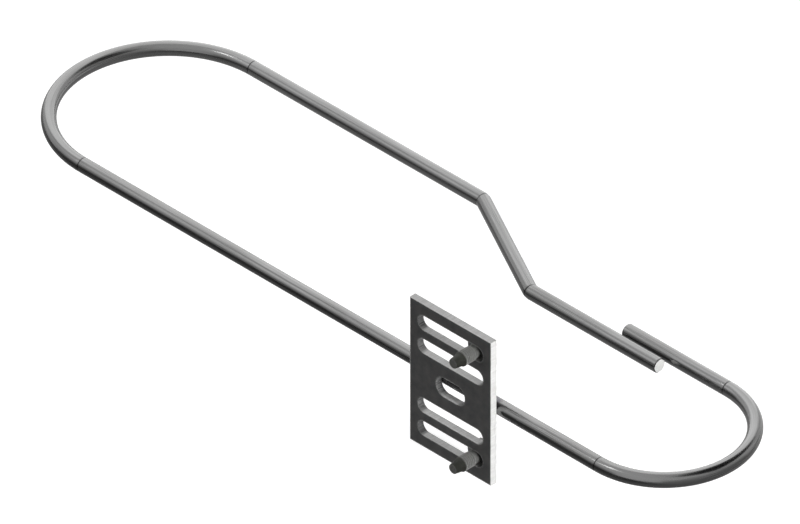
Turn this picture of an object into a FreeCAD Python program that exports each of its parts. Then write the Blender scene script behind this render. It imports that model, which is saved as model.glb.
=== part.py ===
import FreeCAD, Part
import math
import os

# A shunting handle: a round bar bent into a long flat loop, welded to a slotted mounting plate
# that two bolts fasten through its outer slots. All lengths are in millimetres.
# The origin is the centre of the plate's front face, the one that is bolted on. The bolts point
# along -Y, the loop lies flat behind the plate, +X runs along the loop and +Z is up.

# Bar and loop
BAR_DIAMETER = 12.0
BAR_END_CHAMFER = 0.8
LEFT_REACH = 402.0            # plate centre to the start of the left bend
RIGHT_REACH = 143.0           # plate centre to the start of the right bend
LEFT_LOOP_WIDTH = 180.0       # front run to rear run, centre to centre
RIGHT_LOOP_WIDTH = 136.0      # front run to the run behind the right bend
REAR_RUN_LENGTH = 245.5       # left bend to the upper corner of the jog
JOG_LENGTH = 108.5            # along X, from the upper to the lower corner
NEAR_END_LENGTH = 135.0       # lower corner of the jog to the bar's first end
FAR_END_LENGTH = 105.0        # right bend to the bar's second end
END_GAP = 3.0                 # clear gap where the two ends lie side by side
JOG_INSIDE_RADIUS = 3.0       # inside of the two tight bends of the jog

# Mounting plate
PLATE_WIDTH = 85.0
PLATE_THICKNESS = 6.0
PLATE_END_MARGIN = 10.5       # top and bottom edge to the nearest slot
PLATE_EDGE_BREAK = 0.4        # deburred edges
SLOT_SIDE_MARGIN = 8.5        # side edge of the plate to the slots' ends
OUTER_WEB = 8.0               # between the two slots of a pair
INNER_WEB = 12.0              # between a pair and the middle slot
MIDDLE_SLOT_WIDTH = 17.0
MIDDLE_SLOT_LENGTH = 30.0

# Bolts and washers
BOLT_DIAMETER = 12.0
BOLT_CLEARANCE = 1.0          # slots and washer holes are this much wider than the bolt
BOLT_END_PLAY = 3.5           # bolt axis to the centre of its slot's round end
BOLT_LENGTH = 30.0            # under the head to the tip
THREAD_LENGTH = 13.8
THREAD_PITCH = 1.75
LEAD_IN_ANGLE = 30.0          # cone at the front of the thread, measured from the bolt's axis
PILOT_LENGTH = 6.6            # plain tapered end ahead of the thread
PILOT_TIP_DIAMETER = 8.2
HEAD_ACROSS_FLATS = 18.0
HEAD_CROWN_SHARE = 0.95       # flat end of the head as a share of the width across flats
HEAD_CHAMFER_ANGLE = 30.0
HEAD_HEIGHT = 5.5             # low, because none of it shows over the plate's edges
WASHER_DIAMETER = 24.0
WASHER_THICKNESS = 2.5

# Welds between the bar and the back of the plate
WELD_ROOT = 2.0               # height above the line of contact where the weld starts
WELD_LEG = 8.0                # height of the weld's toe on the plate
WELD_TOE_ANGLE = 60.0         # place of the toe on the bar, seen from the bar's centre
WELD_CROWN = 0.5              # how far the weld's face bulges
WELD_SIDE_MARGIN = 2.5        # plate edge to the weld
WELD_SLOT_MARGIN = 2.5        # middle slot to the weld

BAR_RADIUS = BAR_DIAMETER / 2
SLOT_WIDTH = BOLT_DIAMETER + BOLT_CLEARANCE
SLOT_LENGTH = PLATE_WIDTH - 2 * SLOT_SIDE_MARGIN
INNER_SLOT_Z = MIDDLE_SLOT_WIDTH / 2 + INNER_WEB + SLOT_WIDTH / 2
OUTER_SLOT_Z = INNER_SLOT_Z + SLOT_WIDTH + OUTER_WEB
PLATE_HEIGHT = 2 * (OUTER_SLOT_Z + SLOT_WIDTH / 2 + PLATE_END_MARGIN)
BAR_CENTRE_Y = PLATE_THICKNESS + BAR_RADIUS
BOLT_X = (SLOT_LENGTH - SLOT_WIDTH) / 2 - BOLT_END_PLAY
HEAD_FACE_Y = PLATE_THICKNESS + WASHER_THICKNESS
BOLT_TIP_Y = HEAD_FACE_Y - BOLT_LENGTH
PILOT_ROOT_DIAMETER = BOLT_DIAMETER - 1.0825 * THREAD_PITCH     # bottom of a metric thread
SHANK_DIAMETER = BOLT_DIAMETER - 0.6495 * THREAD_PITCH          # blank of a rolled thread

X_AXIS = FreeCAD.Vector(1, 0, 0)
Y_AXIS = FreeCAD.Vector(0, 1, 0)


def loop_point(x, offset):
    """A point of the bar's centre line, offset behind the front run."""
    return FreeCAD.Vector(x, BAR_CENTRE_Y + offset, 0)


def line(start, end):
    return Part.LineSegment(start, end).toShape()


def half_turn(start, end, bulge):
    """Half a circle from start to end that bulges towards the given direction."""
    middle = (start + end) * 0.5
    radius = start.distanceToPoint(end) / 2
    return Part.Arc(start, middle + bulge * radius, end).toShape()


def corner_bend(before, corner, after, radius):
    """The arc that rounds a corner of the centre line, with its two tangent points."""
    arriving = (corner - before).normalize()
    leaving = (after - corner).normalize()
    turn = arriving.getAngle(leaving)
    setback = radius * math.tan(turn / 2)
    start = corner - arriving * setback
    end = corner + leaving * setback
    inward = (leaving - arriving).normalize()
    centre = corner + inward * (radius / math.cos(turn / 2))
    return start, Part.Arc(start, centre - inward * radius, end).toShape(), end


def bar_centre_line():
    """The path of the bar from its first end, round the loop, to its second end."""
    near_offset = RIGHT_LOOP_WIDTH - BAR_DIAMETER - END_GAP
    upper_x = -LEFT_REACH + REAR_RUN_LENGTH
    lower_x = upper_x + JOG_LENGTH
    near_end = loop_point(lower_x + NEAR_END_LENGTH, near_offset)
    lower_corner = loop_point(lower_x, near_offset)
    upper_corner = loop_point(upper_x, LEFT_LOOP_WIDTH)
    rear_left = loop_point(-LEFT_REACH, LEFT_LOOP_WIDTH)
    front_left = loop_point(-LEFT_REACH, 0)
    front_right = loop_point(RIGHT_REACH, 0)
    rear_right = loop_point(RIGHT_REACH, RIGHT_LOOP_WIDTH)
    far_end = loop_point(RIGHT_REACH - FAR_END_LENGTH, RIGHT_LOOP_WIDTH)

    bend_radius = JOG_INSIDE_RADIUS + BAR_RADIUS
    lower_start, lower_bend, lower_end = corner_bend(near_end, lower_corner, upper_corner, bend_radius)
    upper_start, upper_bend, upper_end = corner_bend(lower_corner, upper_corner, rear_left, bend_radius)
    return Part.Wire([
        line(near_end, lower_start),
        lower_bend,
        line(lower_end, upper_start),
        upper_bend,
        line(upper_end, rear_left),
        half_turn(rear_left, front_left, -X_AXIS),
        line(front_left, front_right),
        half_turn(front_right, rear_right, X_AXIS),
        line(rear_right, far_end),
    ])


def make_handle_bar():
    path = bar_centre_line()
    start = path.OrderedVertexes[0].Point
    section = Part.Wire(Part.makeCircle(BAR_RADIUS, start, X_AXIS))
    bar = path.makePipeShell([section], True, False)
    end_edges = []
    for face in bar.Faces:
        if isinstance(face.Surface, Part.Plane):
            end_edges.extend(face.Edges)
    return bar.makeChamfer(BAR_END_CHAMFER, end_edges)


def slot_cutter(length, width, height):
    """A prism through the plate with round ends, centred at the given height."""
    reach = (length - width) / 2
    radius = width / 2
    low_left = FreeCAD.Vector(-reach, 0, height - radius)
    low_right = FreeCAD.Vector(reach, 0, height - radius)
    high_left = FreeCAD.Vector(-reach, 0, height + radius)
    high_right = FreeCAD.Vector(reach, 0, height + radius)
    outline = Part.Wire([
        line(low_left, low_right),
        half_turn(low_right, high_right, X_AXIS),
        line(high_right, high_left),
        half_turn(high_left, low_left, -X_AXIS),
    ])
    return Part.Face(outline).extrude(Y_AXIS * PLATE_THICKNESS)


def make_mounting_plate():
    corner = FreeCAD.Vector(-PLATE_WIDTH / 2, 0, -PLATE_HEIGHT / 2)
    blank = Part.makeBox(PLATE_WIDTH, PLATE_THICKNESS, PLATE_HEIGHT, corner)
    blank = blank.makeChamfer(PLATE_EDGE_BREAK, blank.Edges)
    cutters = [slot_cutter(MIDDLE_SLOT_LENGTH, MIDDLE_SLOT_WIDTH, 0)]
    for height in (-OUTER_SLOT_Z, -INNER_SLOT_Z, INNER_SLOT_Z, OUTER_SLOT_Z):
        cutters.append(slot_cutter(SLOT_LENGTH, SLOT_WIDTH, height))
    return blank.cut(cutters)


def make_weld(side, level):
    """One fillet weld: side is -1 or 1 along X, level is 1 above the bar and -1 below it."""
    inner_x = MIDDLE_SLOT_LENGTH / 2 + WELD_SLOT_MARGIN
    outer_x = PLATE_WIDTH / 2 - WELD_SIDE_MARGIN
    start_x = inner_x if side > 0 else -outer_x

    def on_bar(angle):
        return FreeCAD.Vector(
            start_x,
            BAR_CENTRE_Y - BAR_RADIUS * math.cos(angle),
            level * BAR_RADIUS * math.sin(angle),
        )

    root_angle = math.asin(WELD_ROOT / BAR_RADIUS)
    toe_angle = math.radians(WELD_TOE_ANGLE)
    root = on_bar(root_angle)
    toe_on_bar = on_bar(toe_angle)
    toe_on_plate = FreeCAD.Vector(start_x, PLATE_THICKNESS, level * WELD_LEG)
    root_on_plate = FreeCAD.Vector(start_x, PLATE_THICKNESS, level * WELD_ROOT)
    face_middle = (toe_on_bar + toe_on_plate) * 0.5
    outward = (face_middle - root).normalize()
    section = Part.Wire([
        Part.Arc(root, on_bar((root_angle + toe_angle) / 2), toe_on_bar).toShape(),
        Part.Arc(toe_on_bar, face_middle + outward * WELD_CROWN, toe_on_plate).toShape(),
        line(toe_on_plate, root_on_plate),
        line(root_on_plate, root),
    ])
    return Part.Face(section).extrude(X_AXIS * (outer_x - inner_x))


def cylinder(radius, start_y, end_y, x, z):
    """A round bar along Y between two values of y."""
    base = FreeCAD.Vector(x, start_y, z)
    return Part.makeCylinder(radius, end_y - start_y, base, Y_AXIS)


def make_bolt_head(height):
    """A hexagon with flats above and below, turned down at its end to a circle inside the flats."""
    corner_radius = HEAD_ACROSS_FLATS / math.sqrt(3)
    corners = []
    for index in range(7):
        angle = math.radians(60 * index)
        corners.append(FreeCAD.Vector(
            BOLT_X + corner_radius * math.cos(angle),
            HEAD_FACE_Y,
            height + corner_radius * math.sin(angle),
        ))
    prism = Part.Face(Part.makePolygon(corners)).extrude(Y_AXIS * HEAD_HEIGHT)
    crown_radius = HEAD_CROWN_SHARE * HEAD_ACROSS_FLATS / 2
    base_radius = crown_radius + HEAD_HEIGHT / math.tan(math.radians(HEAD_CHAMFER_ANGLE))
    base = FreeCAD.Vector(BOLT_X, HEAD_FACE_Y, height)
    return prism.common(Part.makeCone(base_radius, crown_radius, HEAD_HEIGHT, base, Y_AXIS))


def make_bolt(height):
    """A hexagon bolt with its head behind the plate and, in front, a thread and a tapered pilot."""
    thread_front_y = BOLT_TIP_Y + PILOT_LENGTH
    thread_rear_y = thread_front_y + THREAD_LENGTH
    crest = BOLT_DIAMETER / 2
    shank = SHANK_DIAMETER / 2
    pilot_root = PILOT_ROOT_DIAMETER / 2
    lead_in = (crest - pilot_root) / math.tan(math.radians(LEAD_IN_ANGLE))
    profile = [
        (0, BOLT_TIP_Y),
        (PILOT_TIP_DIAMETER / 2, BOLT_TIP_Y),
        (pilot_root, thread_front_y),
        (crest, thread_front_y + lead_in),
        (crest, thread_rear_y - (crest - shank)),
        (shank, thread_rear_y),
        (shank, HEAD_FACE_Y),
        (0, HEAD_FACE_Y),
        (0, BOLT_TIP_Y),
    ]
    outline = Part.makePolygon([FreeCAD.Vector(BOLT_X + radius, y, height) for radius, y in profile])
    axis_point = FreeCAD.Vector(BOLT_X, 0, height)
    turned = Part.Face(outline).revolve(axis_point, Y_AXIS, 360)
    return make_bolt_head(height).fuse(turned)


def make_washer(height):
    disc = cylinder(WASHER_DIAMETER / 2, PLATE_THICKNESS, HEAD_FACE_Y, BOLT_X, height)
    hole = cylinder((BOLT_DIAMETER + BOLT_CLEARANCE) / 2, PLATE_THICKNESS, HEAD_FACE_Y, BOLT_X, height)
    return disc.cut(hole)


def single_solid(shape):
    """The one solid of a piece, so that each file holds exactly one."""
    if len(shape.Solids) != 1:
        raise ValueError("expected one solid, found %d" % len(shape.Solids))
    return shape.Solids[0]


def make_parts():
    parts = {
        "handle_bar": make_handle_bar(),
        "mounting_plate": make_mounting_plate(),
    }
    for level_name, level in (("upper", 1), ("lower", -1)):
        parts["bolt_" + level_name] = make_bolt(level * OUTER_SLOT_Z)
        parts["washer_" + level_name] = make_washer(level * OUTER_SLOT_Z)
        for side_name, side in (("left", -1), ("right", 1)):
            parts["weld_%s_%s" % (level_name, side_name)] = make_weld(side, level)
    return {name: single_solid(shape) for name, shape in parts.items()}


os.makedirs("parts", exist_ok=True)
for node, solid in make_parts().items():
    solid.exportStep("parts/%s.step" % node)
    print(node, "valid" if solid.isValid() else "NOT VALID", "volume %.1f" % solid.Volume)
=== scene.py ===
import math

import bmesh
import bpy
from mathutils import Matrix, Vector, noise


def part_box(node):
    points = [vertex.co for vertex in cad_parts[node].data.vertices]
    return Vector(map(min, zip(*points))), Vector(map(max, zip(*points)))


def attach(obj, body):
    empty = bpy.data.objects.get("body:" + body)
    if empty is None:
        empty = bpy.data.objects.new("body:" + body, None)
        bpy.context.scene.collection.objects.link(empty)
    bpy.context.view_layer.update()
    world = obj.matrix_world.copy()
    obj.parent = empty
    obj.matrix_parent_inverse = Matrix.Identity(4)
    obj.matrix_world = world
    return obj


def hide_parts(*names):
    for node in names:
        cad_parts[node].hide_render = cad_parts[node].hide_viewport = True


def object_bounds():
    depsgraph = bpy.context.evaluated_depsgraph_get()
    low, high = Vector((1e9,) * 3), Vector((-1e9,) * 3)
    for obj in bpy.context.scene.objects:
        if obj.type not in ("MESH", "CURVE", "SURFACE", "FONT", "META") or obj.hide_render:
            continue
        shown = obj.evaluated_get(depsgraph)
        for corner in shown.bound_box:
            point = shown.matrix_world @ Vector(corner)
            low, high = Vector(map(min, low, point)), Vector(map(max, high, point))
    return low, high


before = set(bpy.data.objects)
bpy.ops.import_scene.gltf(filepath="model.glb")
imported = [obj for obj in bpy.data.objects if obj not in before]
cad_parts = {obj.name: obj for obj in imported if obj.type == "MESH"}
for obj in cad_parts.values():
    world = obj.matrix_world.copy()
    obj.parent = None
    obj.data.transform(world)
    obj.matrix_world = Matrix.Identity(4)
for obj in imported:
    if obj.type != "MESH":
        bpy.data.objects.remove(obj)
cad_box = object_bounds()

# A shunting handle, dressed piece by piece on its CAD frame. Lengths are in metres.
MM = 0.001

# The bar, as in part.py; its thickness comes from the frame
LEFT_REACH = 402 * MM
RIGHT_REACH = 143 * MM
LEFT_LOOP_WIDTH = 180 * MM
RIGHT_LOOP_WIDTH = 136 * MM
REAR_RUN_LENGTH = 245.5 * MM
JOG_LENGTH = 108.5 * MM
JOG_BEND_RADIUS = 9 * MM
NEAR_END_LENGTH = 135 * MM
FAR_END_LENGTH = 105 * MM
END_GAP = 3 * MM
BAR_END_CHAMFER = 0.8 * MM
BAR_SIDES = 64
RING_SPACING = 12 * MM        # along the straight runs
RING_TURN = math.radians(3)   # round the bends
TIGHT_RADIUS = 2 * JOG_BEND_RADIUS    # a bend below it has one mark in its middle, not one at each end
MARK_HALF_WIDTH = 0.8 * MM    # line that the bending die leaves round the bar
MARK_DEPTH = 0.1 * MM
BURR_MARK = 0.6               # how dark the saw has left the rim of an end; a bending mark is 1

# The plate's slots and edges
SLOT_WIDTH = 13 * MM
SLOT_LENGTH = 68 * MM
INNER_SLOT_Z = 27 * MM
OUTER_SLOT_Z = 48 * MM
MIDDLE_SLOT_WIDTH = 17 * MM
MIDDLE_SLOT_LENGTH = 30 * MM
EDGE_BREAK = 0.4 * MM
SLOT_EDGE_BREAK = 0.15 * MM
BREAK_MIDDLE = 0.3            # share of a break at which its middle point lies, to make it round
WEAR_BAND = 1.3 * MM          # handling has rubbed the scale thin this far in from an edge
SLOT_END_SIDES = 20
SLOT_END_SHADE_GROWTH = 3               # how fast the painted shade on a slot's wall grows where the wall starts to curve

# Bolts and washers
THREAD_PITCH = 1.75 * MM
ROOT_FLAT = 0.25              # of a metric thread, as a share of the pitch
CREST_FLAT = 0.125
THREAD_LENGTH = 13.8 * MM
LEAD_IN_ANGLE = math.radians(30)
PILOT_LENGTH = 6.6 * MM
PILOT_TIP_RADIUS = 4.1 * MM
PILOT_TIP_CHAMFER = 0.3 * MM
BOLT_RADIUS = 6 * MM
SHANK_RADIUS = BOLT_RADIUS - 0.32475 * THREAD_PITCH         # blank of a rolled thread
THREAD_ROOT_RADIUS = BOLT_RADIUS - 0.6134 * THREAD_PITCH    # of a bolt's thread
PILOT_ROOT_RADIUS = BOLT_RADIUS - 0.54125 * THREAD_PITCH    # of a nut's thread, as in part.py
LEAD_IN_LENGTH = (BOLT_RADIUS - PILOT_ROOT_RADIUS) / math.tan(LEAD_IN_ANGLE)
THREAD_STEPS = 14             # rings of vertices a turn
BOLT_SIDES = 72               # a multiple of six, so that the head's corners fall on vertices
HEAD_CROWN_SHARE = 0.95       # radius of the head's flat end, against half its width across flats
HEAD_FACE_SHARE = 0.9         # of that radius, where the wear of the rim has faded
HEAD_CHAMFER_ANGLE = math.radians(30)
HEAD_EDGE_BREAK = 0.2 * MM
TIP_WEAR = 0.15               # how much of the black is worn off, here at a bolt's tip
HEAD_SIDE_WEAR = 0.3
HEAD_CORNER_WEAR = 0.45
HEAD_RIM_WEAR = 0.4
HEAD_FACE_WEAR = 0.22
CREST_WEAR_CURVE = 1.5        # a higher value keeps the thread's wear nearer to its crests
WASHER_HOLE_RADIUS = 6.5 * MM
WASHER_EDGE_BREAK = 0.3 * MM

# Weld beads
WELD_LEG = 8 * MM
WELD_TOE_ANGLE = math.radians(60)
WELD_ROOT = 2 * MM
WELD_CROWN = 0.45 * MM
WELD_RIPPLE_PITCH = 1.5 * MM
WELD_RIPPLE_HEIGHT = 0.16 * MM
WELD_RIPPLE_TOP = 0.8         # share of a ripple's height that lies inside the smooth bead
WELD_RIPPLE_BOW = 1.1 * MM    # how far a ripple curves along the bead
WELD_RIPPLE_FADE = 3          # how fast the ripples come up from the bead's toes
WELD_RIPPLE_DRIFT = 0.35      # how uneven the ripples' spacing is, as a share of one
WELD_DRIFT_GRAIN = 300        # of the noise behind it, in 1 / m
WELD_WOBBLE = 0.2 * MM
WELD_WOBBLE_GRAIN = 260
WELD_END_ROUNDING = 3.5 * MM
WELD_TIP = 0.04 * MM          # length left off at each end, so that the last ring has an area
WELD_STEP = 0.22 * MM
WELD_FACE_STEPS = 10

# Heat tint round the welds, on the bar and the back of the plate
TINT_START = 14 * MM          # from the plate's middle, along X
TINT_END = 44 * MM
TINT_FADE = 4 * MM
TINT_RAGGEDNESS = 1.2 * MM
BAR_TINT_REACH = 11 * MM      # up and down from the bar's centre line
PLATE_TINT_REACH = 13.5 * MM

# The picture
LENS = 1100.0                 # in mm, long enough to look like the photograph's parallel view
SENSOR = 36.0
PICTURE_WIDTH = 0.5979        # how much the picture shows from left to right, at the object
VIEW_DIRECTION = Vector((1, -1, 1)).normalized()
AIM = Vector((-0.1451, 0.0923, -0.0012))

# The studio; a brightness of 1 looks white in a mirror
WORLD_BRIGHTNESS = 0.2
FLOOR_REACH = 30.0
FLOOR_GREY = 0.55
FLOOR_GLOW = 0.75
DIRECT_LAMP_DISTANCE = 2.2
CARD_REACH_X = 4.0            # how far the floor's cards run to each side
CARD_REACH_Y = 3.0            # and to the front and back
CARD_SEAM_X = 0.28            # right of the object, where the dark cards meet a paler one
CARD_SEAM_Y = -0.14           # in front of the object; from here to the back the card gets brighter
CARD_BACK_Y = 0.3             # behind the object, where the bare floor starts
CARD_LIFT = 1 * MM            # off the floor, so that card and floor don't share a plane
HIGH_CARD_CENTRE = Vector((0.36, 0.57, 0.92))
HIGH_CARD_FACING = Vector((0.427, 0.419, 0.802))
HIGH_CARD_ACROSS = Vector((0.7, -0.714, 0)) * 0.62
HIGH_CARD_STRETCH = 0.65      # its other half side, against the one across

SHARP_ANGLE = math.radians(32)

bar_low, bar_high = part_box("handle_bar")
plate_low, plate_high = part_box("mounting_plate")
BAR_RADIUS = bar_high.z
BAR_CENTRE_Y = bar_low.y + BAR_RADIUS
PLATE_BACK_Y = plate_high.y


# Building pieces

def new_ring(mesh, points):
    return [mesh.verts.new(point) for point in points]


def bridge(mesh, first, second, material=0):
    """Quads between two closed rings that have as many vertices."""
    count = len(first)
    for index in range(count):
        following = (index + 1) % count
        face = mesh.faces.new((first[index], first[following], second[following], second[index]))
        face.material_index = material


def cap(mesh, ring, material=0):
    mesh.faces.new(ring).material_index = material


def finish_piece(mesh, node, materials, soft=()):
    """Turn a bmesh into the piece that stands for a CAD node.

    Its steep edges are crisp, except between soft vertices.
    """
    bmesh.ops.recalc_face_normals(mesh, faces=mesh.faces)
    for face in mesh.faces:
        face.smooth = True
    for edge in mesh.edges:
        steep = edge.calc_face_angle(0) > SHARP_ANGLE
        if steep and not (edge.verts[0] in soft and edge.verts[1] in soft):
            edge.smooth = False
    data = bpy.data.meshes.new(node + "_surface")
    mesh.to_mesh(data)
    mesh.free()
    for material in materials:
        data.materials.append(material)
    piece = bpy.data.objects.new(node + "_surface", data)
    bpy.context.scene.collection.objects.link(piece)
    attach(piece, "root")
    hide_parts(node)
    return piece


# Node materials

def put(tree, kind, inputs=None, **settings):
    """Add a node. An input is a plain value or another node's output."""
    node = tree.nodes.new(kind)
    for name, value in settings.items():
        setattr(node, name, value)
    for key, value in (inputs or {}).items():
        if isinstance(value, bpy.types.NodeSocket):
            tree.links.new(value, node.inputs[key])
        else:
            node.inputs[key].default_value = value
    return node


def new_material(name, metallic):
    """An empty node material with its shader, whose constant values are set on the shader itself."""
    material = bpy.data.materials.new(name)
    material.use_nodes = True
    tree = material.node_tree
    tree.nodes.clear()
    shader = put(tree, "ShaderNodeBsdfPrincipled", {"Metallic": metallic})
    put(tree, "ShaderNodeOutputMaterial", {"Surface": shader.outputs["BSDF"]})
    return material, tree, shader


def object_place(tree):
    return put(tree, "ShaderNodeTexCoord").outputs["Object"]


def stored(tree, name, kind):
    return put(tree, "ShaderNodeAttribute", attribute_name=name).outputs[kind]


def stretched(tree, place, scale):
    return put(tree, "ShaderNodeVectorMath", {0: place, 1: scale}, operation="MULTIPLY").outputs[0]


def cloud(tree, place, scale, detail=3.0, roughness=0.55):
    """Soft noise from 0 to 1; its grain is about 1 / scale metres."""
    inputs = {"Vector": place, "Scale": scale, "Detail": detail, "Roughness": roughness}
    return put(tree, "ShaderNodeTexNoise", inputs).outputs["Fac"]


def lines(tree, place, scale):
    """Noise drawn out into lines: scale is in 1 / m along each axis."""
    return cloud(tree, stretched(tree, place, scale), 1.0)


def remap(tree, value, low, high, out_low=0.0, out_high=1.0):
    inputs = {"Value": value, "From Min": low, "From Max": high, "To Min": out_low, "To Max": out_high}
    return put(tree, "ShaderNodeMapRange", inputs).outputs[0]


def combine(tree, operation, first, second):
    return put(tree, "ShaderNodeMath", {0: first, 1: second}, operation=operation).outputs[0]


def axis_of(tree, place, axis):
    return put(tree, "ShaderNodeSeparateXYZ", {0: place}).outputs[axis]


def blend(tree, factor, first, second):
    """Mix two colours, each a linear (r, g, b) or another node's output."""
    node = put(tree, "ShaderNodeMix", data_type="RGBA")
    for socket, value in ((node.inputs[0], factor), (node.inputs[6], first), (node.inputs[7], second)):
        if isinstance(value, bpy.types.NodeSocket):
            tree.links.new(value, socket)
        elif isinstance(value, tuple):
            socket.default_value = (*value, 1.0)
        else:
            socket.default_value = value
    return node.outputs[2]


def bump(tree, height, depth, under=None):
    """Surface relief of the given depth in metres, on top of another one if it is given."""
    inputs = {"Height": height, "Distance": depth, "Strength": 1.0}
    if under is not None:
        inputs["Normal"] = under
    return put(tree, "ShaderNodeBump", inputs).outputs["Normal"]


def wire(tree, shader, **sources):
    """Link outputs to the shader's inputs, written with underscores for spaces."""
    for name, source in sources.items():
        tree.links.new(source, shader.inputs[name.replace("_", " ")])


def heat_tint(tree, colour, place, reach_z):
    """Straw and blue oxide next to the welds, fading out up to reach_z above and below the bar's middle."""
    straw_colour = (0.20, 0.15, 0.095)
    blue_colour = (0.055, 0.065, 0.095)
    height = put(tree, "ShaderNodeMath", {0: axis_of(tree, place, 2)}, operation="ABSOLUTE").outputs[0]
    side = put(tree, "ShaderNodeMath", {0: axis_of(tree, place, 0)}, operation="ABSOLUTE").outputs[0]
    depth = axis_of(tree, place, 1)
    ragged = remap(tree, cloud(tree, place, 240), 0.3, 0.7, -TINT_RAGGEDNESS, TINT_RAGGEDNESS)
    ragged_height = combine(tree, "ADD", height, ragged)
    ragged_side = combine(tree, "ADD", side, ragged)
    outer = remap(tree, ragged_side, TINT_END, TINT_END - TINT_FADE)
    inner = remap(tree, ragged_side, TINT_START, TINT_START + TINT_FADE)
    beside = combine(tree, "MULTIPLY", outer, inner)
    behind = remap(tree, depth, PLATE_BACK_Y - 1 * MM, PLATE_BACK_Y - 0.1 * MM)
    near = remap(tree, depth, BAR_CENTRE_Y + 7 * MM, BAR_CENTRE_Y + 2 * MM)
    zone = combine(tree, "MULTIPLY", combine(tree, "MULTIPLY", beside, behind), near)
    straw = remap(tree, ragged_height, reach_z, reach_z - 2 * MM, 0.0, 0.4)
    blue = remap(tree, ragged_height, reach_z - 1.5 * MM, reach_z - 4 * MM, 0.0, 0.6)
    tinted = blend(tree, combine(tree, "MULTIPLY", zone, straw), colour, straw_colour)
    return blend(tree, combine(tree, "MULTIPLY", zone, blue), tinted, blue_colour)


def drawn_steel():
    """Bright drawn bar: fine lines along it, faint stains, and a dark line where a bending mark is."""
    clean = (0.22, 0.22, 0.22)
    stained = (0.18, 0.18, 0.178)
    streak_colour = (0.11, 0.11, 0.11)
    grain_colour = (0.28, 0.28, 0.28)
    mark_colour = (0.012, 0.012, 0.012)
    material, tree, shader = new_material("drawn_steel", 1.0)
    place = stored(tree, "straight", "Vector")
    grain = lines(tree, place, (30, 2600, 2600))
    streaks = lines(tree, place, (9, 420, 420))
    stains = cloud(tree, stretched(tree, place, (14, 60, 60)), 1.0)
    mark = stored(tree, "mark", "Fac")
    base = blend(tree, remap(tree, stains, 0.35, 0.7), clean, stained)
    base = blend(tree, remap(tree, streaks, 0.45, 0.7, out_high=0.5), base, streak_colour)
    base = blend(tree, remap(tree, grain, 0.45, 0.8, out_high=0.3), base, grain_colour)
    base = blend(tree, remap(tree, mark, 0.1, 0.8, out_high=0.95), base, mark_colour)
    base = heat_tint(tree, base, object_place(tree), BAR_TINT_REACH)
    rough = remap(tree, grain, 0.3, 0.75, 0.17, 0.27)
    rough = combine(tree, "ADD", rough, remap(tree, stains, 0.4, 0.7, out_high=0.07))
    relief = bump(tree, grain, 0.006 * MM)
    wire(tree, shader, Base_Color=base, Roughness=rough, Normal=relief)
    return material


def sawn_steel():
    """A cut end of the bar: parallel saw lines on bright metal."""
    clean = (0.74, 0.74, 0.73)
    scored = (0.60, 0.60, 0.59)
    stained = (0.55, 0.54, 0.52)
    material, tree, shader = new_material("sawn_steel", 0.35)
    place = stored(tree, "straight", "Vector")
    saw = lines(tree, place, (200, 250, 3200))
    stains = cloud(tree, place, 300)
    base = blend(tree, remap(tree, saw, 0.35, 0.7), clean, scored)
    base = blend(tree, remap(tree, stains, 0.5, 0.8, out_high=0.4), base, stained)
    rough = remap(tree, saw, 0.3, 0.7, 0.4, 0.55)
    wire(tree, shader, Base_Color=base, Roughness=rough, Normal=bump(tree, saw, 0.02 * MM))
    return material


def scaled_plate():
    """Dark mill scale: mottled and finely pitted, thin and lighter near the edges, scratched in places."""
    dark_scale = (0.042, 0.042, 0.043)
    pale_scale = (0.062, 0.061, 0.060)
    rolled_colour = (0.072, 0.071, 0.069)
    scratch_colour = (0.11, 0.11, 0.11)
    bare_steel = (0.22, 0.22, 0.215)
    material, tree, shader = new_material("scaled_plate", 0.35)
    place = object_place(tree)
    mottle = cloud(tree, place, 110, 5.0)
    pits = cloud(tree, place, 1600, 2.0)
    rolled = lines(tree, place, (40, 900, 900))
    scratch = lines(tree, place, (2600, 900, 90))
    wear = stored(tree, "wear", "Fac")
    base = blend(tree, remap(tree, mottle, 0.35, 0.7), dark_scale, pale_scale)
    base = blend(tree, remap(tree, rolled, 0.55, 0.8, out_high=0.4), base, rolled_colour)
    base = blend(tree, remap(tree, scratch, 0.68, 0.76, out_high=0.35), base, scratch_colour)
    rubbed = combine(tree, "MULTIPLY", wear, remap(tree, cloud(tree, place, 700), 0.35, 0.6))
    base = blend(tree, rubbed, base, bare_steel)
    base = heat_tint(tree, base, place, PLATE_TINT_REACH)
    rough = remap(tree, mottle, 0.3, 0.7, 0.52, 0.40)
    relief = bump(tree, rolled, 0.01 * MM, bump(tree, pits, 0.02 * MM))
    wire(tree, shader, Base_Color=base, Roughness=rough, Normal=relief)
    return material


def cut_steel():
    """The plate's cut edges and slot walls: bright, with fine lines through the thickness.

    Where a wall curves, it is darkened with painted shade, as if its curved end lay in shade.
    """
    clean = (0.54, 0.54, 0.535)
    scored = (0.42, 0.42, 0.415)
    stained = (0.36, 0.355, 0.345)
    painted_shade_colour = (0.06, 0.06, 0.06)
    material, tree, shader = new_material("cut_steel", 0.05)
    place = object_place(tree)
    cut = lines(tree, place, (1500, 60, 1500))
    stains = cloud(tree, place, 160)
    base = blend(tree, remap(tree, cut, 0.35, 0.7), clean, scored)
    base = blend(tree, remap(tree, stains, 0.5, 0.8, out_high=0.5), base, stained)
    # Painted shade: the curved ends of the slot walls are darkened in the colour, with a little streaking
    # from the cut lines.
    slot_end_shade = combine(tree, "MULTIPLY", stored(tree, "curve", "Fac"), remap(tree, cut, 0.4, 0.6, 0.8, 1.0))
    base = blend(tree, slot_end_shade, base, painted_shade_colour)
    rough = remap(tree, cut, 0.3, 0.7, 0.5, 0.66)
    wire(tree, shader, Base_Color=base, Roughness=rough, Normal=bump(tree, cut, 0.03 * MM))
    return material


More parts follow.
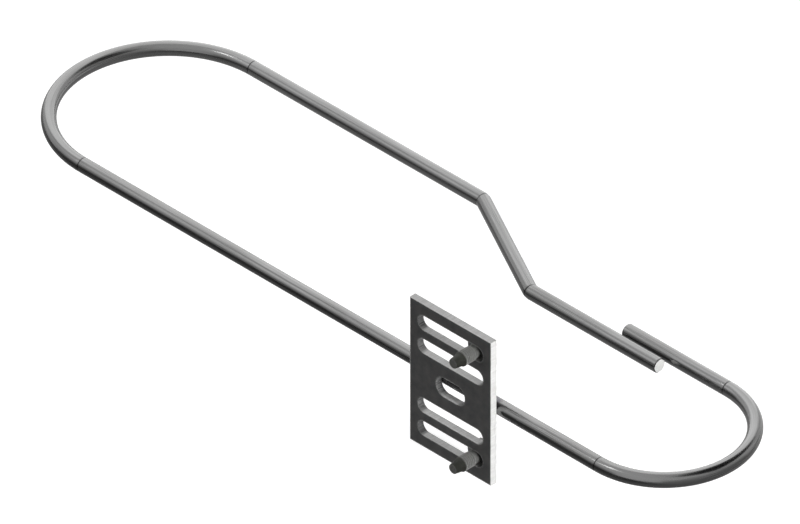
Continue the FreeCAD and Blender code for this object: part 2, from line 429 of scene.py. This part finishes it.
def blackened_steel():
    """Bolt steel with a worn black finish: the thread and the head's edges show more metal."""
    black = (0.016, 0.017, 0.014)
    faded_black = (0.026, 0.027, 0.022)
    turned_colour = (0.05, 0.05, 0.045)
    bare_steel = (0.42, 0.42, 0.41)
    material, tree, shader = new_material("blackened_steel", 0.4)
    place = object_place(tree)
    mottle = cloud(tree, place, 500, 4.0)
    turned = lines(tree, place, (120, 2600, 120))
    wear = stored(tree, "wear", "Fac")
    base = blend(tree, remap(tree, mottle, 0.35, 0.7), black, faded_black)
    base = blend(tree, remap(tree, turned, 0.5, 0.8, out_high=0.3), base, turned_colour)
    rubbed = combine(tree, "MULTIPLY", wear, remap(tree, cloud(tree, place, 1400), 0.3, 0.6, 0.6, 1.0))
    base = blend(tree, rubbed, base, bare_steel)
    rough = remap(tree, mottle, 0.3, 0.7, 0.42, 0.55)
    relief = bump(tree, turned, 0.008 * MM, bump(tree, mottle, 0.01 * MM))
    wire(tree, shader, Base_Color=base, Roughness=rough, Normal=relief)
    return material


def dark_coat():
    """Phosphate coat on the pressed washers: dark grey, clouded, with a fine crystal grain."""
    pale = (0.12, 0.12, 0.12)
    dark = (0.08, 0.08, 0.08)
    crystal = (0.22, 0.22, 0.21)
    material, tree, shader = new_material("dark_coat", 0.5)
    place = object_place(tree)
    clouds = cloud(tree, place, 320, 4.0)
    specks = cloud(tree, place, 2400, 1.0)
    base = blend(tree, remap(tree, clouds, 0.35, 0.7), pale, dark)
    base = blend(tree, remap(tree, specks, 0.6, 0.8, out_high=0.4), base, crystal)
    rough = remap(tree, clouds, 0.3, 0.7, 0.4, 0.55)
    wire(tree, shader, Base_Color=base, Roughness=rough, Normal=bump(tree, specks, 0.01 * MM))
    return material


def weld_metal():
    """Weld beads: grey metal, browned in the valleys between ripples."""
    clean = (0.30, 0.29, 0.275)
    dull = (0.20, 0.185, 0.165)
    brown = (0.09, 0.075, 0.06)
    material, tree, shader = new_material("weld_metal", 0.85)
    place = object_place(tree)
    slag = cloud(tree, place, 800, 4.0)
    valley = stored(tree, "valley", "Fac")
    base = blend(tree, remap(tree, slag, 0.35, 0.7), clean, dull)
    base = blend(tree, combine(tree, "MULTIPLY", valley, 0.7), base, brown)
    rough = remap(tree, slag, 0.3, 0.7, 0.34, 0.52)
    wire(tree, shader, Base_Color=base, Roughness=rough, Normal=bump(tree, slag, 0.04 * MM))
    return material


# The bar

def near_run_offset():
    """How far the run of the bar's first end lies behind the front run."""
    return RIGHT_LOOP_WIDTH - 2 * BAR_RADIUS - END_GAP


def bar_legs():
    """The bar from its first end to its second as (length, curvature); a turn to the left is positive."""
    jog_rise = LEFT_LOOP_WIDTH - near_run_offset()
    jog_angle = math.atan2(jog_rise, JOG_LENGTH)
    setback = JOG_BEND_RADIUS * math.tan(jog_angle / 2)
    left_radius = LEFT_LOOP_WIDTH / 2
    right_radius = RIGHT_LOOP_WIDTH / 2
    return [
        (NEAR_END_LENGTH - setback, 0),
        (JOG_BEND_RADIUS * jog_angle, -1 / JOG_BEND_RADIUS),
        (math.hypot(JOG_LENGTH, jog_rise) - 2 * setback, 0),
        (JOG_BEND_RADIUS * jog_angle, 1 / JOG_BEND_RADIUS),
        (REAR_RUN_LENGTH - setback, 0),
        (math.pi * left_radius, 1 / left_radius),
        (LEFT_REACH + RIGHT_REACH, 0),
        (math.pi * right_radius, 1 / right_radius),
        (FAR_END_LENGTH, 0),
    ]


def walk(place, heading, curvature, distance):
    """Where a walk of constant curvature arrives, and its heading there."""
    turn = curvature * distance
    chord = 2 * math.sin(turn / 2) / curvature if curvature else distance
    direction = heading + turn / 2
    step = Vector((math.cos(direction), math.sin(direction), 0)) * chord
    return place + step, heading + turn


def bar_at(distance):
    """The centre line's place and heading at a distance from the bar's first end."""
    first_end_x = -LEFT_REACH + REAR_RUN_LENGTH + JOG_LENGTH + NEAR_END_LENGTH
    place = Vector((first_end_x, BAR_CENTRE_Y + near_run_offset(), 0))
    heading = math.pi
    for length, curvature in bar_legs():
        part = min(distance, length)
        place, heading = walk(place, heading, curvature, part)
        distance -= part
    return place, heading


def bar_stations():
    """Distances along the bar that get a ring of vertices, each with how much of a bending mark it has."""
    stations = {}
    marks = []
    travelled = 0.0
    for length, curvature in bar_legs():
        spacing = RING_TURN / abs(curvature) if curvature else RING_SPACING
        steps = math.ceil(length / spacing)
        for index in range(steps + 1):
            stations[travelled + length * index / steps] = 0.0
        if abs(curvature) * TIGHT_RADIUS > 1:
            marks.append(travelled + length / 2)
        elif curvature:
            marks.extend((travelled, travelled + length))
        travelled += length
    for end, inwards in ((0.0, 1), (travelled, -1)):
        stations[end] = BURR_MARK
        stations[end + inwards * BAR_END_CHAMFER] = 0.0
    for mark in marks:
        stations = {key: value for key, value in stations.items() if abs(key - mark) > MARK_HALF_WIDTH}
        stations[mark - MARK_HALF_WIDTH] = 0.0
        stations[mark] = 1.0
        stations[mark + MARK_HALF_WIDTH] = 0.0
    return sorted(stations.items()), travelled


def make_bar():
    mesh = bmesh.new()
    straight = mesh.verts.layers.float_vector.new("straight")
    marking = mesh.verts.layers.float.new("mark")
    stations, full_length = bar_stations()
    rings = []
    for distance, mark in stations:
        place, heading = bar_at(distance)
        side = Vector((-math.sin(heading), math.cos(heading), 0))
        to_end = min(distance, full_length - distance)
        in_groove = mark if to_end > BAR_END_CHAMFER else 0.0
        radius = BAR_RADIUS - max(0.0, BAR_END_CHAMFER - to_end) - MARK_DEPTH * in_groove
        ring = []
        for index in range(BAR_SIDES):
            angle = 2 * math.pi * index / BAR_SIDES
            across = radius * math.cos(angle)
            up = radius * math.sin(angle)
            vertex = mesh.verts.new(place + side * across + Vector((0, 0, up)))
            vertex[straight] = Vector((distance, across, up))
            vertex[marking] = mark
            ring.append(vertex)
        rings.append(ring)
    for first, second in zip(rings, rings[1:]):
        bridge(mesh, first, second)
    cap(mesh, rings[0], 1)
    cap(mesh, rings[-1], 1)
    finish_piece(mesh, "handle_bar", [drawn_steel(), sawn_steel()])


# The plate

def plate_outline(inset):
    """The plate's four corners, moved inwards."""
    left, right = plate_low.x + inset, plate_high.x - inset
    low, high = plate_low.z + inset, plate_high.z - inset
    return [(left, low), (right, low), (right, high), (left, high)]


def slot_outline(length, width, height, inset):
    """A level slot's outline, moved outwards into the plate: its right half circle, then its left one."""
    reach = (length - width) / 2
    radius = width / 2 + inset
    points = []
    for end, start_angle in ((reach, -math.pi / 2), (-reach, math.pi / 2)):
        for index in range(SLOT_END_SIDES + 1):
            angle = start_angle + math.pi * index / SLOT_END_SIDES
            points.append((end + radius * math.cos(angle), height + radius * math.sin(angle)))
    return points


def edge_profile(break_):
    """Steps from the front face over a cut edge to the back face: (inset, y, wear, material)."""
    front, back = plate_low.y, plate_high.y
    middle = break_ * BREAK_MIDDLE
    return [
        (WEAR_BAND, front, 0.0, 0),
        (break_, front, 1.0, 0),
        (middle, front + middle, 1.0, 1),
        (0, front + break_, 1.0, 1),
        (0, back - break_, 1.0, 1),
        (middle, back - middle, 1.0, 1),
        (break_, back, 1.0, 0),
        (WEAR_BAND, back, 0.0, 0),
    ]


def make_plate():
    mesh = bmesh.new()
    wear_layer = mesh.verts.layers.float.new("wear")
    curve_layer = mesh.verts.layers.float.new("curve")
    outlines = [(plate_outline, EDGE_BREAK)]
    slots = [(MIDDLE_SLOT_LENGTH, MIDDLE_SLOT_WIDTH, 0)]
    for height in (-OUTER_SLOT_Z, -INNER_SLOT_Z, INNER_SLOT_Z, OUTER_SLOT_Z):
        slots.append((SLOT_LENGTH, SLOT_WIDTH, height))
    for sizes in slots:
        outlines.append((lambda inset, slot=sizes: slot_outline(*slot, inset), SLOT_EDGE_BREAK))
    open_rings = ([], [])
    for outline, break_ in outlines:
        rings = []
        for inset, y, wear, material in edge_profile(break_):
            ring = new_ring(mesh, [(x, y, z) for x, z in outline(inset)])
            for index, vertex in enumerate(ring):
                vertex[wear_layer] = wear
                # The curve mask carries painted shade. It is 0 where a slot's curved end meets a straight
                # wall and reaches 1 a third of the way round.
                if outline is not plate_outline:
                    along_end = index % (SLOT_END_SIDES + 1) / SLOT_END_SIDES
                    vertex[curve_layer] = min(1.0, SLOT_END_SHADE_GROWTH * (1 - abs(2 * along_end - 1)))
            if rings:
                bridge(mesh, rings[-1], ring, material)
            rings.append(ring)
        open_rings[0].append(rings[0])
        open_rings[1].append(rings[-1])
    for rings in open_rings:
        edges = []
        for ring in rings:
            for index, vertex in enumerate(ring):
                edges.append(mesh.edges.get((vertex, ring[index - 1])))
        bmesh.ops.triangle_fill(mesh, use_beauty=True, edges=edges)
    finish_piece(mesh, "mounting_plate", [scaled_plate(), cut_steel()])


# Bolts and washers

def thread_height(y, angle):
    """The height of a metric thread above its root, as a share, at a place on the bolt."""
    phase = (y / THREAD_PITCH + angle / (2 * math.pi)) % 1.0
    rise = abs(2 * phase - 1)
    return min(1.0, max(0.0, (rise - ROOT_FLAT) / (1 - ROOT_FLAT - CREST_FLAT)))


def bolt_rings(tip_y):
    """Rings from the tip to the end of the thread: (y, radius at an angle, 1 where there is thread)."""
    thread_start = tip_y + PILOT_LENGTH
    thread_end = thread_start + THREAD_LENGTH
    plain = [
        (tip_y, PILOT_TIP_RADIUS - PILOT_TIP_CHAMFER),
        (tip_y + PILOT_TIP_CHAMFER, PILOT_TIP_RADIUS),
        (thread_start, PILOT_ROOT_RADIUS),
    ]
    rings = [(y, lambda angle, r=radius: r, 0.0) for y, radius in plain]
    steps = round(THREAD_LENGTH / THREAD_PITCH * THREAD_STEPS)
    for index in range(1, steps + 1):
        y = thread_start + THREAD_LENGTH * index / steps
        threaded = 1.0 if y > thread_start + LEAD_IN_LENGTH else 0.0
        rings.append((y, thread_radius(y, thread_start, thread_end), threaded))
    return rings


def thread_radius(y, start, end):
    """The bolt's radius round one ring: a smooth lead-in cone, then the thread.

    The thread runs in over half a turn and out over a whole one.
    """
    cone = PILOT_ROOT_RADIUS + (y - start) * math.tan(LEAD_IN_ANGLE)
    full = min(BOLT_RADIUS, cone)
    cone_end = start + LEAD_IN_LENGTH
    run_in = min(1.0, max(0.0, y - cone_end) / (THREAD_PITCH / 2))
    run_out = min(1.0, (end - y) / THREAD_PITCH)

    def radius(angle):
        cut = full - (BOLT_RADIUS - THREAD_ROOT_RADIUS) * run_in * (1 - thread_height(y - start, angle))
        return SHANK_RADIUS + (cut - SHANK_RADIUS) * run_out
    return radius


def head_radius(across_flats, angle):
    """Distance from the axis to the side of a hexagon that has a flat at angle 0."""
    return across_flats / 2 / math.cos((angle + math.pi / 6) % (math.pi / 3) - math.pi / 6)


def head_rings(face_y, end_y, across_flats):
    """Rings from under the head to its flat end: (y at an angle, radius at an angle, wear)."""
    crown = HEAD_CROWN_SHARE * across_flats / 2

    def side(angle):
        return head_radius(across_flats, angle)

    def shoulder(angle):
        return end_y - math.tan(HEAD_CHAMFER_ANGLE) * (side(angle) - crown)

    return [
        (lambda angle: face_y, lambda angle: side(angle) - HEAD_EDGE_BREAK, 0.0),
        (lambda angle: face_y + HEAD_EDGE_BREAK, side, HEAD_SIDE_WEAR),
        (shoulder, side, HEAD_CORNER_WEAR),
        (lambda angle: end_y, lambda angle: crown, HEAD_RIM_WEAR),
        (lambda angle: end_y, lambda angle: crown * HEAD_FACE_SHARE, HEAD_FACE_WEAR),
    ]


def turned_ring(mesh, centre_x, centre_z, radius_at, y_at):
    """A ring of vertices round an axis along Y; angle 0 points up."""
    points = []
    for index in range(BOLT_SIDES):
        angle = 2 * math.pi * index / BOLT_SIDES
        radius = radius_at(angle)
        points.append((centre_x + radius * math.sin(angle), y_at(angle), centre_z + radius * math.cos(angle)))
    return new_ring(mesh, points)


def make_bolt(node, washer_node, material):
    low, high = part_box(node)
    face_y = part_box(washer_node)[1].y
    centre_x, centre_z = (low.x + high.x) / 2, (low.z + high.z) / 2
    across_flats = high.z - low.z
    mesh = bmesh.new()
    wear_layer = mesh.verts.layers.float.new("wear")
    rings = []
    soft = set()
    for y, radius_at, threaded in bolt_rings(low.y):
        ring = turned_ring(mesh, centre_x, centre_z, radius_at, lambda angle, level=y: level)
        for index, vertex in enumerate(ring):
            cut = radius_at(2 * math.pi * index / BOLT_SIDES) - THREAD_ROOT_RADIUS
            share = max(0.0, cut / (BOLT_RADIUS - THREAD_ROOT_RADIUS))
            vertex[wear_layer] = threaded * share ** CREST_WEAR_CURVE
            if threaded:
                soft.add(vertex)
        rings.append(ring)
    for vertex in rings[0]:
        vertex[wear_layer] = TIP_WEAR
    rings.append(turned_ring(mesh, centre_x, centre_z, lambda angle: SHANK_RADIUS, lambda angle: face_y))
    for y_at, radius_at, wear in head_rings(face_y, high.y, across_flats):
        ring = turned_ring(mesh, centre_x, centre_z, radius_at, y_at)
        for vertex in ring:
            vertex[wear_layer] = wear
        rings.append(ring)
    for first, second in zip(rings, rings[1:]):
        bridge(mesh, first, second)
    cap(mesh, rings[0])
    cap(mesh, rings[-1])
    finish_piece(mesh, node, [material], soft)


def make_washer(node, material):
    low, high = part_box(node)
    centre_x, centre_z = (low.x + high.x) / 2, (low.z + high.z) / 2
    outer = (high.x - low.x) / 2
    inner = WASHER_HOLE_RADIUS
    break_ = WASHER_EDGE_BREAK
    middle = break_ * BREAK_MIDDLE
    profile = [
        (inner, low.y + break_),
        (inner + middle, low.y + middle),
        (inner + break_, low.y),
        (outer - break_, low.y),
        (outer - middle, low.y + middle),
        (outer, low.y + break_),
        (outer, high.y - break_),
        (outer - middle, high.y - middle),
        (outer - break_, high.y),
        (inner + break_, high.y),
        (inner + middle, high.y - middle),
        (inner, high.y - break_),
    ]
    mesh = bmesh.new()
    rings = []
    for radius, y in profile:
        ring = turned_ring(mesh, centre_x, centre_z, lambda angle, r=radius: r, lambda angle, level=y: level)
        rings.append(ring)
    for first, second in zip(rings, rings[1:] + rings[:1]):
        bridge(mesh, first, second)
    finish_piece(mesh, node, [material])


# Welds

def weld_section(along, length, level, seed):
    """Points round the bead at a distance from its start, with how deep each lies in a ripple's valley."""
    from_end = min(along, length - along)
    if from_end < WELD_END_ROUNDING:
        fullness = math.sqrt(max(0.0, 1 - (1 - from_end / WELD_END_ROUNDING) ** 2))
    else:
        fullness = 1.0
    toe_on_plate = Vector((0, PLATE_BACK_Y, WELD_LEG))
    toe_on_bar = Vector((
        0,
        BAR_CENTRE_Y - BAR_RADIUS * math.cos(WELD_TOE_ANGLE),
        BAR_RADIUS * math.sin(WELD_TOE_ANGLE),
    ))
    root = Vector((0, PLATE_BACK_Y, WELD_ROOT))
    outward = ((toe_on_plate + toe_on_bar) / 2 - root).normalized()
    points = []
    for index in range(WELD_FACE_STEPS + 1):
        share = index / WELD_FACE_STEPS
        bulge = 1 - (2 * share - 1) ** 2
        phase = (along + WELD_RIPPLE_BOW * (1 - bulge)) / WELD_RIPPLE_PITCH
        phase += WELD_RIPPLE_DRIFT * noise.noise(Vector((along * WELD_DRIFT_GRAIN, seed, 0)))
        ripple = abs(math.sin(math.pi * phase))
        point = toe_on_plate.lerp(toe_on_bar, share)
        rippled = min(1.0, WELD_RIPPLE_FADE * bulge)
        rise = WELD_CROWN * bulge + WELD_RIPPLE_HEIGHT * (ripple - WELD_RIPPLE_TOP) * rippled
        wobble = noise.noise(Vector((along * WELD_WOBBLE_GRAIN, share * 2, seed))) * WELD_WOBBLE * bulge
        point = point + outward * (rise + wobble)
        point = root.lerp(point, fullness)
        points.append((point.y, level * point.z, 1 - ripple))
    points.append((root.y, level * root.z, 0.0))
    return points


def make_weld(node, level, seed, material):
    low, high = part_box(node)
    length = high.x - low.x
    mesh = bmesh.new()
    valley_layer = mesh.verts.layers.float.new("valley")
    steps = math.ceil(length / WELD_STEP)
    rings = []
    for index in range(steps + 1):
        along = length * index / steps
        along = min(max(along, WELD_TIP), length - WELD_TIP)
        ring = []
        for y, z, valley in weld_section(along, length, level, seed):
            vertex = mesh.verts.new((low.x + along, y, z))
            vertex[valley_layer] = valley
            ring.append(vertex)
        rings.append(ring)
    for first, second in zip(rings, rings[1:]):
        bridge(mesh, first, second)
    cap(mesh, rings[0])
    cap(mesh, rings[-1])
    finish_piece(mesh, node, [material], set(mesh.verts))


# Studio

def white_for_the_camera(tree, shader, rest):
    """The shader where the background is seen, also in metal and glass; the rest for the light it gives."""
    path = put(tree, "ShaderNodeLightPath").outputs
    seen = combine(tree, "MAXIMUM", path["Is Camera Ray"], path["Is Glossy Ray"])
    seen = combine(tree, "MAXIMUM", seen, path["Is Transmission Ray"])
    return put(tree, "ShaderNodeMixShader", {0: seen, 1: rest, 2: shader}).outputs[0]


def make_world():
    world = bpy.data.worlds.new("studio")
    bpy.context.scene.world = world
    world.use_nodes = True
    tree = world.node_tree
    tree.nodes.clear()
    white = put(tree, "ShaderNodeBackground", {"Color": (1, 1, 1, 1), "Strength": 1.0}).outputs[0]
    dim = put(tree, "ShaderNodeBackground", {"Color": (1, 1, 1, 1), "Strength": WORLD_BRIGHTNESS}).outputs[0]
    put(tree, "ShaderNodeOutputWorld", {0: white_for_the_camera(tree, white, dim)})


def floor_finish():
    """Pale floor that takes the object's shadow and looks white to the camera."""
    material = bpy.data.materials.new("studio_floor")
    material.use_nodes = True
    tree = material.node_tree
    tree.nodes.clear()
    grey = (FLOOR_GREY, FLOOR_GREY, FLOOR_GREY, 1)
    paint = put(tree, "ShaderNodeBsdfDiffuse", {"Color": grey}).outputs[0]
    glow = put(tree, "ShaderNodeEmission", {"Color": (1, 1, 1, 1), "Strength": FLOOR_GLOW}).outputs[0]
    lit = put(tree, "ShaderNodeAddShader", {0: paint, 1: glow}).outputs[0]
    put(tree, "ShaderNodeOutputMaterial", {0: white_for_the_camera(tree, lit, paint)})
    return material


def add_panel(name, centre, across, up, material):
    """A flat rectangle of studio equipment, which isn't part of the object."""
    corners = [centre - across - up, centre + across - up, centre + across + up, centre - across + up]
    data = bpy.data.meshes.new(name)
    data.from_pydata(corners, [], [(0, 1, 2, 3)])
    data.materials.append(material)
    panel = bpy.data.objects.new(name, data)
    bpy.context.scene.collection.objects.link(panel)
    return panel


def add_softbox(name, direction, distance, size, brightness):
    """A square area lamp that faces the object, as bright in a mirror as its brightness says."""
    data = bpy.data.lights.new(name, "AREA")
    data.size = size
    data.energy = 4 * brightness * size ** 2
    lamp = bpy.data.objects.new(name, data)
    direction = Vector(direction).normalized()
    middle = (cad_box[0] + cad_box[1]) / 2
    lamp.location = middle + direction * distance
    lamp.rotation_euler = direction.to_track_quat("Z", "Y").to_euler()
    bpy.context.scene.collection.objects.link(lamp)
    return lamp


def add_card(name, centre, across, up, start, end):
    """A grey card that only reflections show, so that bright metal on white gets its dark bands.

    Across and up are its half sides. Its brightness goes from start at its lower or nearer edge to
    end at the other.
    """
    material = bpy.data.materials.new(name)
    material.use_nodes = True
    tree = material.node_tree
    tree.nodes.clear()
    axis = max(range(3), key=lambda index: abs(up[index]))
    place = put(tree, "ShaderNodeTexCoord").outputs["Generated"]
    level = remap(tree, axis_of(tree, place, axis), 0.0, 1.0, start, end)
    glow = put(tree, "ShaderNodeEmission", {"Color": (1, 1, 1, 1), "Strength": level}).outputs[0]
    put(tree, "ShaderNodeOutputMaterial", {0: glow})
    card = add_panel(name, centre, across, up, material)
    card.visible_camera = False
    card.visible_diffuse = False
    card.visible_shadow = False
    card.visible_transmission = False


def add_floor_card(name, low_x, high_x, low_y, high_y, start, end):
    """A card that lies on the floor, given by its edges."""
    centre = Vector(((low_x + high_x) / 2, (low_y + high_y) / 2, cad_box[0].z + CARD_LIFT))
    across = Vector(((high_x - low_x) / 2, 0, 0))
    add_card(name, centre, across, Vector((0, (high_y - low_y) / 2, 0)), start, end)


def add_floor():
    centre = Vector((0, 0, cad_box[0].z))
    add_panel("floor", centre, Vector((FLOOR_REACH, 0, 0)), Vector((0, FLOOR_REACH, 0)), floor_finish())


def add_lamps():
    """Soft boxes that the metal mirrors, and two lamps that it doesn't, to the right and in front."""
    add_softbox("back_softbox", (-0.6, 0.6, 0.53), distance=2.0, size=2.6, brightness=0.8)
    add_softbox("front_strip", (-0.577, -0.51, 0.63), distance=3.0, size=1.0, brightness=0.5)
    add_softbox("front_spot", (-0.35, -0.44, 0.83), distance=6.0, size=1.0, brightness=5.0)
    for name, direction, size, brightness in (
        ("right_key", (1, -0.16, 0.12), 0.6, 46.0),
        ("front_fill", (-0.25, -1, 0.12), 1.8, 3.0),
    ):
        lamp = add_softbox(name, direction, DIRECT_LAMP_DISTANCE, size, brightness)
        lamp.visible_glossy = False


def add_cards():
    """Three cards on the floor, two upright ones far off and a dark one high up behind the right bend."""
    left, right = -CARD_REACH_X, CARD_REACH_X
    front, back = -CARD_REACH_Y, CARD_REACH_Y
    add_floor_card("far_card", left, CARD_SEAM_X, front, CARD_SEAM_Y, start=0.04, end=0.06)
    add_floor_card("near_card", left, CARD_SEAM_X, CARD_SEAM_Y, CARD_BACK_Y, start=0.06, end=0.6)
    add_floor_card("right_card", CARD_SEAM_X, right, front, back, start=0.33, end=0.33)
    add_card(
        "front_card",
        centre=Vector((-3.2, -3, 0.75)),
        across=Vector((2.9, 0, 0)),
        up=Vector((0, 0, 0.82)),
        start=0.1,
        end=0.95,
    )
    add_card(
        "side_card",
        centre=Vector((3, 0.5, 1.1)),
        across=Vector((0, 3.5, 0)),
        up=Vector((0, 0, 1.17)),
        start=0.33,
        end=0.8,
    )
    up = HIGH_CARD_FACING.cross(HIGH_CARD_ACROSS) * HIGH_CARD_STRETCH
    add_card("high_card", HIGH_CARD_CENTRE, HIGH_CARD_ACROSS, up, start=0.02, end=0.02)


def make_studio():
    make_world()
    add_floor()
    add_lamps()
    add_cards()


def make_camera():
    data = bpy.data.cameras.new("camera")
    data.sensor_width = SENSOR
    data.lens = LENS
    distance = PICTURE_WIDTH * LENS / SENSOR
    data.clip_start = distance / 20
    data.clip_end = distance * 5
    camera = bpy.data.objects.new("camera", data)
    camera.location = AIM + VIEW_DIRECTION * distance
    camera.rotation_euler = VIEW_DIRECTION.to_track_quat("Z", "Y").to_euler()
    bpy.context.scene.collection.objects.link(camera)
    bpy.context.scene.camera = camera


make_camera()
make_studio()
make_bar()
make_plate()
bolt_finish = blackened_steel()
washer_finish = dark_coat()
weld_finish = weld_metal()
for level_name, level in (("upper", 1), ("lower", -1)):
    make_bolt("bolt_" + level_name, "washer_" + level_name, bolt_finish)
    make_washer("washer_" + level_name, washer_finish)
    for side_name, seed in (("left", 3), ("right", 8)):
        make_weld("weld_%s_%s" % (level_name, side_name), level, seed + 20 * level, weld_finish)

bpy.context.scene.view_settings.view_transform = "Standard"
